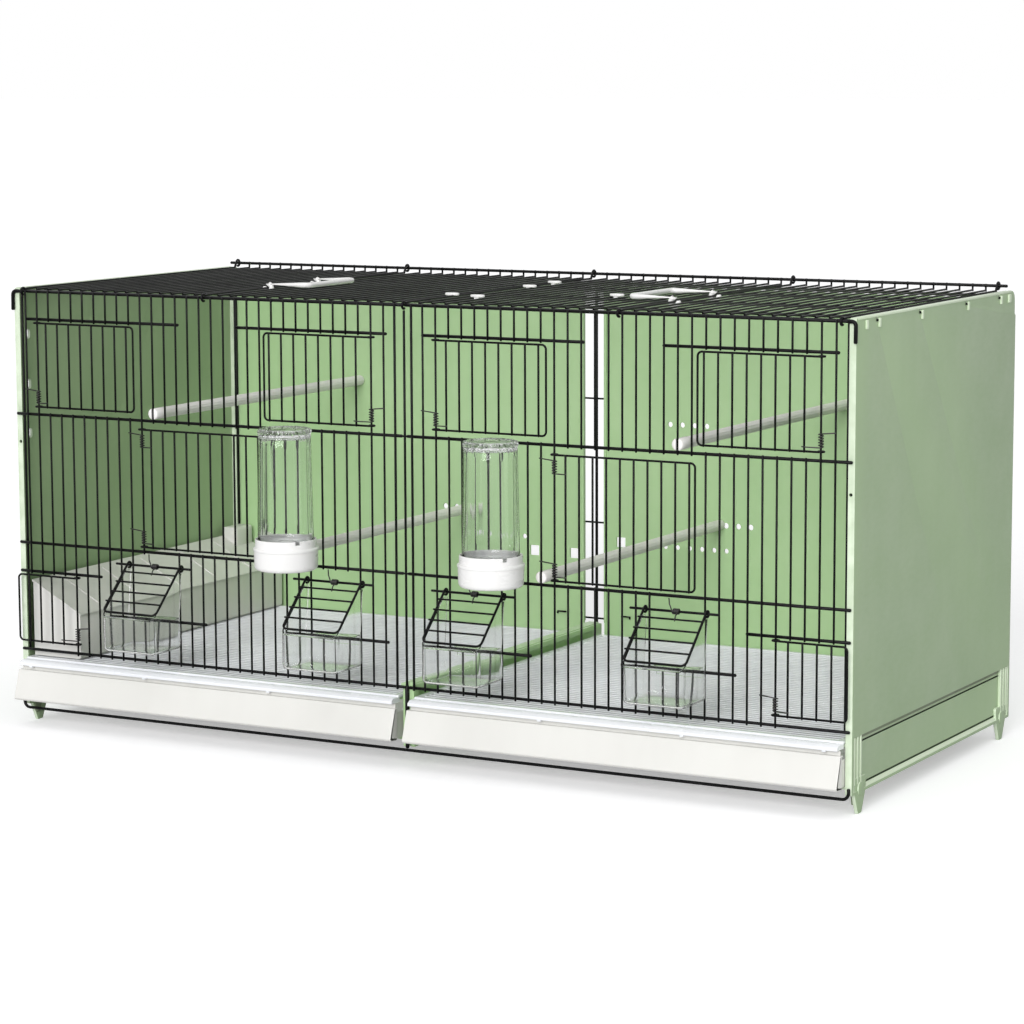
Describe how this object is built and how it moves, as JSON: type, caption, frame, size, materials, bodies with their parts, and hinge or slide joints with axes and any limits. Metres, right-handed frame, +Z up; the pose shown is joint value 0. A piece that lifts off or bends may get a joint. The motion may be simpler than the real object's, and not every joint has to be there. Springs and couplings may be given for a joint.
{
  "type": "bird breeding cage",
  "caption": "Free-standing breeding cage for small birds, with sprung wire doors, feeders, drinkers, perches, floor grids and dirt drawers.",
  "frame": {"origin": "centre of the bounding box's footprint, on the surface that the feet stand on", "axes": "+X along the cage's length, +Y from the door side to the back, +Z up"},
  "size_m": [0.9, 0.4656, 0.4423],
  "materials": {
    "green_panel": "satin, light green",
    "black_wire": "satin black coating",
    "spring_steel": "blackened spring wire",
    "white_fittings": "glossy white",
    "perch_plastic": "matte white",
    "white_tray": "satin warm white",
    "grid_plastic": "satin light grey",
    "clear_plastic": "clear, transparent"
  },
  "bodies": {
    "cage": {"side_panel_left": "green_panel", "side_panel_right": "green_panel", "back_panel_left": "green_panel", "back_panel_right": "green_panel", "centre_rail": "green_panel", "centre_post": "black_wire", "rear_wire": "black_wire", "tie_wire": "black_wire", "front_grille_left": "black_wire", "front_grille_right": "black_wire", "top_grille": "black_wire", "feeder_1": "clear_plastic", "feeder_2": "clear_plastic", "feeder_3": "clear_plastic", "feeder_4": "clear_plastic", "drinker_cup_left": "white_fittings", "drinker_cup_right": "white_fittings", "drinker_bottle_left": "clear_plastic", "drinker_bottle_right": "clear_plastic", "upper_perch_left": "perch_plastic", "upper_perch_right": "perch_plastic", "lower_perch_left": "perch_plastic", "lower_perch_right": "perch_plastic", "floor_box": "white_tray", "floor_box_lid": "white_tray", "upper_door_spring_1": "spring_steel", "upper_door_spring_2": "spring_steel", "upper_door_spring_3": "spring_steel", "upper_door_spring_4": "spring_steel", "middle_door_spring_left_lower": "spring_steel", "middle_door_spring_left_upper": "spring_steel", "corner_door_spring_left": "spring_steel", "middle_door_spring_right_lower": "spring_steel", "middle_door_spring_right_upper": "spring_steel", "corner_door_spring_right": "spring_steel", "feeder_flap_spring_1": "spring_steel", "feeder_flap_spring_2": "spring_steel", "feeder_flap_spring_3": "spring_steel", "feeder_flap_spring_4": "spring_steel"},
    "upper_door_1": {"upper_door_1": "black_wire"},
    "upper_door_2": {"upper_door_2": "black_wire"},
    "upper_door_3": {"upper_door_3": "black_wire"},
    "upper_door_4": {"upper_door_4": "black_wire"},
    "middle_door_left": {"middle_door_left": "black_wire"},
    "corner_door_left": {"corner_door_left": "black_wire"},
    "middle_door_right": {"middle_door_right": "black_wire"},
    "corner_door_right": {"corner_door_right": "black_wire"},
    "feeder_flap_1": {"feeder_flap_1": "black_wire"},
    "feeder_flap_2": {"feeder_flap_2": "black_wire"},
    "feeder_flap_3": {"feeder_flap_3": "black_wire"},
    "feeder_flap_4": {"feeder_flap_4": "black_wire"},
    "drawer_left": {"drawer_left": "white_tray"},
    "floor_grid_left": {"floor_grid_left": "grid_plastic"},
    "drawer_right": {"drawer_right": "white_tray"},
    "floor_grid_right": {"floor_grid_right": "grid_plastic"},
    "handle_left": {"handle_left": "white_fittings"},
    "handle_right": {"handle_right": "white_fittings"}
  },
  "joints": [
    {"name": "upper_door_1_hinge", "type": "hinge", "parent": "cage", "child": "upper_door_1", "pos_m": [-0.41824, -0.1652, 0.36175], "axis": [0, 0, -1], "range_deg": [0, 95], "stiffness_Nm_per_rad": 0.01, "springref_deg": -22.92, "deforming": ["upper_door_spring_1"]},
    {"name": "upper_door_2_hinge", "type": "hinge", "parent": "cage", "child": "upper_door_2", "pos_m": [-0.03465, -0.1652, 0.36175], "axis": [0, 0, 1], "range_deg": [0, 95], "stiffness_Nm_per_rad": 0.01, "springref_deg": -22.92, "deforming": ["upper_door_spring_2"]},
    {"name": "upper_door_3_hinge", "type": "hinge", "parent": "cage", "child": "upper_door_3", "pos_m": [0.03465, -0.1652, 0.36175], "axis": [0, 0, -1], "range_deg": [0, 95], "stiffness_Nm_per_rad": 0.01, "springref_deg": -22.92, "deforming": ["upper_door_spring_3"]},
    {"name": "upper_door_4_hinge", "type": "hinge", "parent": "cage", "child": "upper_door_4", "pos_m": [0.41824, -0.1652, 0.36175], "axis": [0, 0, 1], "range_deg": [0, 95], "stiffness_Nm_per_rad": 0.01, "springref_deg": -22.92, "deforming": ["upper_door_spring_4"]},
    {"name": "middle_door_left_hinge", "type": "hinge", "parent": "cage", "child": "middle_door_left", "pos_m": [-0.29495, -0.1652, 0.2465], "axis": [0, 0, -1], "range_deg": [0, 95], "stiffness_Nm_per_rad": 0.01, "springref_deg": -22.92, "deforming": ["middle_door_spring_left_lower", "middle_door_spring_left_upper"]},
    {"name": "corner_door_left_hinge", "type": "hinge", "parent": "cage", "child": "corner_door_left", "pos_m": [-0.37715, -0.1652, 0.117], "axis": [0, 0, 1], "range_deg": [0, 95], "stiffness_Nm_per_rad": 0.01, "springref_deg": -22.92, "deforming": ["corner_door_spring_left"]},
    {"name": "middle_door_right_hinge", "type": "hinge", "parent": "cage", "child": "middle_door_right", "pos_m": [0.15795, -0.1652, 0.2465], "axis": [0, 0, -1], "range_deg": [0, 95], "stiffness_Nm_per_rad": 0.01, "springref_deg": -22.92, "deforming": ["middle_door_spring_right_lower", "middle_door_spring_right_upper"]},
    {"name": "corner_door_right_hinge", "type": "hinge", "parent": "cage", "child": "corner_door_right", "pos_m": [0.37715, -0.1652, 0.117], "axis": [0, 0, -1], "range_deg": [0, 95], "stiffness_Nm_per_rad": 0.01, "springref_deg": -22.92, "deforming": ["corner_door_spring_right"]},
    {"name": "feeder_flap_1_hinge", "type": "hinge", "parent": "cage", "child": "feeder_flap_1", "pos_m": [-0.28125, -0.1671, 0.1705], "axis": [-1, 0, 0], "range_deg": [0, 45], "stiffness_Nm_per_rad": 0.005, "springref_deg": -17.19, "deforming": ["feeder_flap_spring_1"]},
    {"name": "feeder_flap_2_hinge", "type": "hinge", "parent": "cage", "child": "feeder_flap_2", "pos_m": [-0.07575, -0.1671, 0.1705], "axis": [-1, 0, 0], "range_deg": [0, 45], "stiffness_Nm_per_rad": 0.005, "springref_deg": -17.19, "deforming": ["feeder_flap_spring_2"]},
    {"name": "feeder_flap_3_hinge", "type": "hinge", "parent": "cage", "child": "feeder_flap_3", "pos_m": [0.07575, -0.1671, 0.1705], "axis": [-1, 0, 0], "range_deg": [0, 45], "stiffness_Nm_per_rad": 0.005, "springref_deg": -17.19, "deforming": ["feeder_flap_spring_3"]},
    {"name": "feeder_flap_4_hinge", "type": "hinge", "parent": "cage", "child": "feeder_flap_4", "pos_m": [0.28125, -0.1671, 0.1705], "axis": [-1, 0, 0], "range_deg": [0, 45], "stiffness_Nm_per_rad": 0.005, "springref_deg": -17.19, "deforming": ["feeder_flap_spring_4"]},
    {"name": "drawer_left_slide", "type": "slide", "parent": "cage", "child": "drawer_left", "axis": [0, -1, 0], "range_m": [0, 0.36]},
    {"name": "floor_grid_left_slide", "type": "slide", "parent": "cage", "child": "floor_grid_left", "axis": [0, -1, 0], "range_m": [0, 0.36]},
    {"name": "drawer_right_slide", "type": "slide", "parent": "cage", "child": "drawer_right", "axis": [0, -1, 0], "range_m": [0, 0.36]},
    {"name": "floor_grid_right_slide", "type": "slide", "parent": "cage", "child": "floor_grid_right", "axis": [0, -1, 0], "range_m": [0, 0.36]},
    {"name": "handle_left_hinge", "type": "hinge", "parent": "cage", "child": "handle_left", "pos_m": [-0.22196, -0.0067, 0.43615], "axis": [0, -1, 0], "range_deg": [0, 140]},
    {"name": "handle_right_hinge", "type": "hinge", "parent": "cage", "child": "handle_right", "pos_m": [0.22196, -0.0067, 0.43615], "axis": [0, 1, 0], "range_deg": [0, 140]}
  ]
}
